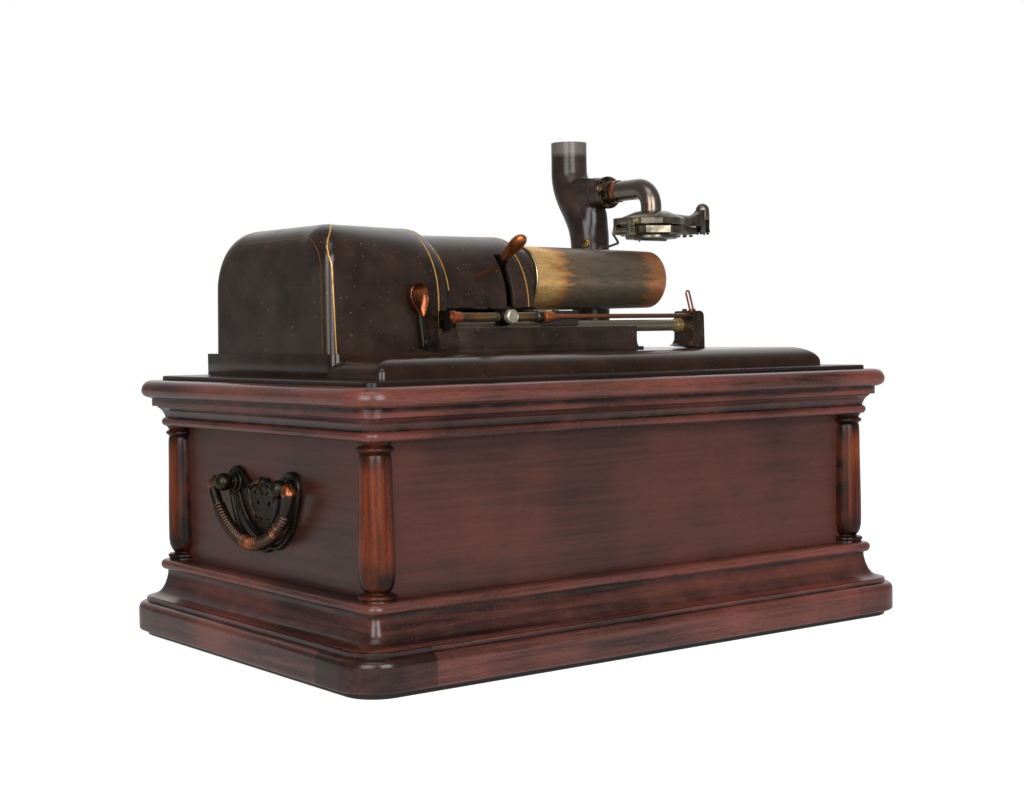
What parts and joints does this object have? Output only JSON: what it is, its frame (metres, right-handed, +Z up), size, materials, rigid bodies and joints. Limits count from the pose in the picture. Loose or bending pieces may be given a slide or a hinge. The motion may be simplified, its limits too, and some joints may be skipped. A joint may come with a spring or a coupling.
{
  "type": "cylinder phonograph",
  "caption": "Table cylinder phonograph with a wooden case, travelling mandrel in a barrel hood, fixed sound arm with horn socket, bail handles and spring motor.",
  "frame": {"origin": "middle of the underside of the foot frame", "axes": "+X to the right along the mandrel, +Y to the back, +Z up; the front looks toward -Y"},
  "size_m": [0.464, 0.312, 0.356],
  "materials": {
    "mahogany_dark": "satin varnish",
    "mahogany_panel": "satin varnish",
    "column_wood": "gloss varnish",
    "ebonised_wood": "satin varnish",
    "bronzed_iron": "oxidised bronze, worn bright on the grip",
    "japanned_iron": "black-brown japan with gilt lines",
    "copper_plate": "oxidised copper plate, worn",
    "black_iron": "black enamel",
    "steel": "dull",
    "spring_steel": "blued",
    "motor_plate": "machined",
    "brass": "aged",
    "pulley_iron": "turned",
    "belt_leather": "matt",
    "mandrel_bronze": "worn bronze, dark in the middle",
    "screw_nickel": "dull nickel",
    "tube_bronze": "dark bronze",
    "reproducer_nickel": "oxidised nickel",
    "diaphragm_mica": "mica"
  },
  "bodies": {
    "frame": {"foot_frame": "mahogany_dark", "plinth_frame": "mahogany_dark", "base_moulding": "mahogany_dark", "front_panel": "mahogany_panel", "back_panel": "mahogany_panel", "left_panel": "mahogany_panel", "right_panel": "mahogany_panel", "corner_columns": "column_wood", "cornice_moulding": "mahogany_dark", "top_frame": "mahogany_dark", "top_strip": "ebonised_wood", "handle_plates": "bronzed_iron", "handle_posts": "bronzed_iron", "bedplate": "japanned_iron", "gear_cover": "japanned_iron", "mandrel_hood": "japanned_iron", "front_rail": "japanned_iron", "end_post": "japanned_iron", "guide_rod": "steel", "sleeve_bracket": "black_iron", "outer_bracket": "black_iron", "hood_bracket": "black_iron", "drive_belt": "belt_leather", "feed_pivot": "steel", "start_stud": "black_iron", "trip_wire": "copper_plate", "horn_pedestal": "japanned_iron", "swivel_collar": "brass", "lift_wire": "japanned_iron", "motor_plates": "motor_plate", "motor_pillars": "steel", "ratchet_click": "steel", "brake_arm": "black_iron"},
    "bail_left": {"bail_left": "bronzed_iron"},
    "bail_right": {"bail_right": "bronzed_iron"},
    "carriage": {"carriage": "japanned_iron"},
    "mandrel": {"mandrel": "mandrel_bronze", "mandrel_shaft": "steel"},
    "sleeve": {"drive_sleeve": "brass"},
    "feed_lever": {"feed_arm": "japanned_iron", "feed_knob": "copper_plate"},
    "start_lever": {"start_lever": "copper_plate"},
    "stop_rod": {"stop_rod": "copper_plate"},
    "stop_collar": {"stop_collar": "black_iron"},
    "stop_screw": {"stop_screw": "screw_nickel"},
    "sound_arm": {"sound_tube": "tube_bronze", "reproducer_body": "reproducer_nickel", "diaphragm": "diaphragm_mica", "lift_knob": "reproducer_nickel"},
    "weight": {"reproducer_weight": "reproducer_nickel", "stylus": "steel"},
    "barrel": {"spring_barrel": "brass", "mainspring": "spring_steel"},
    "winder": {"winding_arbor": "steel"},
    "second": {"second_arbor": "brass"},
    "drive": {"drive_arbor": "brass", "motor_pulley": "pulley_iron"},
    "governor": {"governor_shaft": "brass", "governor_weights": "brass", "governor_springs": "spring_steel"}
  },
  "joints": [
    {"name": "bail_left_swing", "type": "hinge", "parent": "frame", "child": "bail_left", "pos_m": [-0.212, 0.0067, 0.1116], "axis": [0, 1, 0], "range_deg": [0, 95]},
    {"name": "bail_right_swing", "type": "hinge", "parent": "frame", "child": "bail_right", "pos_m": [0.212, 0.0067, 0.1116], "axis": [0, -1, 0], "range_deg": [0, 95]},
    {"name": "mandrel_feed", "type": "slide", "parent": "frame", "child": "carriage", "axis": [1, 0, 0], "range_m": [0, 0.094]},
    {"name": "mandrel_spin", "type": "hinge", "parent": "carriage", "child": "mandrel", "pos_m": [0, 0, 0.2448], "axis": [1, 0, 0], "continuous": true},
    {"name": "sleeve_spin", "type": "hinge", "parent": "frame", "child": "sleeve", "pos_m": [0, 0, 0.2448], "axis": [1, 0, 0], "continuous": true},
    {"name": "feed_lever_turn", "type": "hinge", "parent": "frame", "child": "feed_lever", "pos_m": [0, 0.0105, 0.225], "axis": [1, 0, 0], "range_deg": [0, 31]},
    {"name": "start_lever_turn", "type": "hinge", "parent": "frame", "child": "start_lever", "pos_m": [-0.113, -0.05, 0.201], "axis": [0, -1, 0], "range_deg": [0, 28]},
    {"name": "stop_rod_slide", "type": "slide", "parent": "frame", "child": "stop_rod", "axis": [-1, 0, 0], "range_m": [0, 0.003]},
    {"name": "stop_collar_slide", "type": "slide", "parent": "stop_rod", "child": "stop_collar", "axis": [1, 0, 0], "range_m": [-0.028, 0.021]},
    {"name": "stop_screw_turn", "type": "hinge", "parent": "stop_collar", "child": "stop_screw", "pos_m": [-0.0545, -0.055, 0.2172], "axis": [0, 1, 0], "continuous": true},
    {"name": "sound_arm_lift", "type": "hinge", "parent": "frame", "child": "sound_arm", "pos_m": [0.125, 0, 0.3136], "axis": [0, -1, 0], "range_deg": [0, 60]},
    {"name": "weight_drop", "type": "hinge", "parent": "sound_arm", "child": "weight", "pos_m": [0.098, -0.002, 0.2809], "axis": [0, 1, 0], "range_deg": [0, 2.5]},
    {"name": "barrel_spin", "type": "hinge", "parent": "frame", "child": "barrel", "pos_m": [0, 0.062, 0.095], "axis": [1, 0, 0], "continuous": true},
    {"name": "winder_spin", "type": "hinge", "parent": "frame", "child": "winder", "pos_m": [0, 0.062, 0.095], "axis": [1, 0, 0], "continuous": true},
    {"name": "second_spin", "type": "hinge", "parent": "frame", "child": "second", "pos_m": [0, 0.00539, 0.08836], "axis": [1, 0, 0], "continuous": true},
    {"name": "drive_spin", "type": "hinge", "parent": "frame", "child": "drive", "pos_m": [0, 0, 0.128], "axis": [1, 0, 0], "continuous": true},
    {"name": "governor_spin", "type": "hinge", "parent": "frame", "child": "governor", "pos_m": [0, -0.028, 0.14349], "axis": [1, 0, 0], "continuous": true}
  ],
  "couplings": [
    {"joint": "second_spin", "follows": "barrel_spin", "ratio": -3.75},
    {"joint": "drive_spin", "follows": "barrel_spin", "ratio": 11.25},
    {"joint": "governor_spin", "follows": "barrel_spin", "ratio": -33.75},
    {"joint": "sleeve_spin", "follows": "barrel_spin", "ratio": 15},
    {"joint": "mandrel_spin", "follows": "barrel_spin", "ratio": 15}
  ]
}
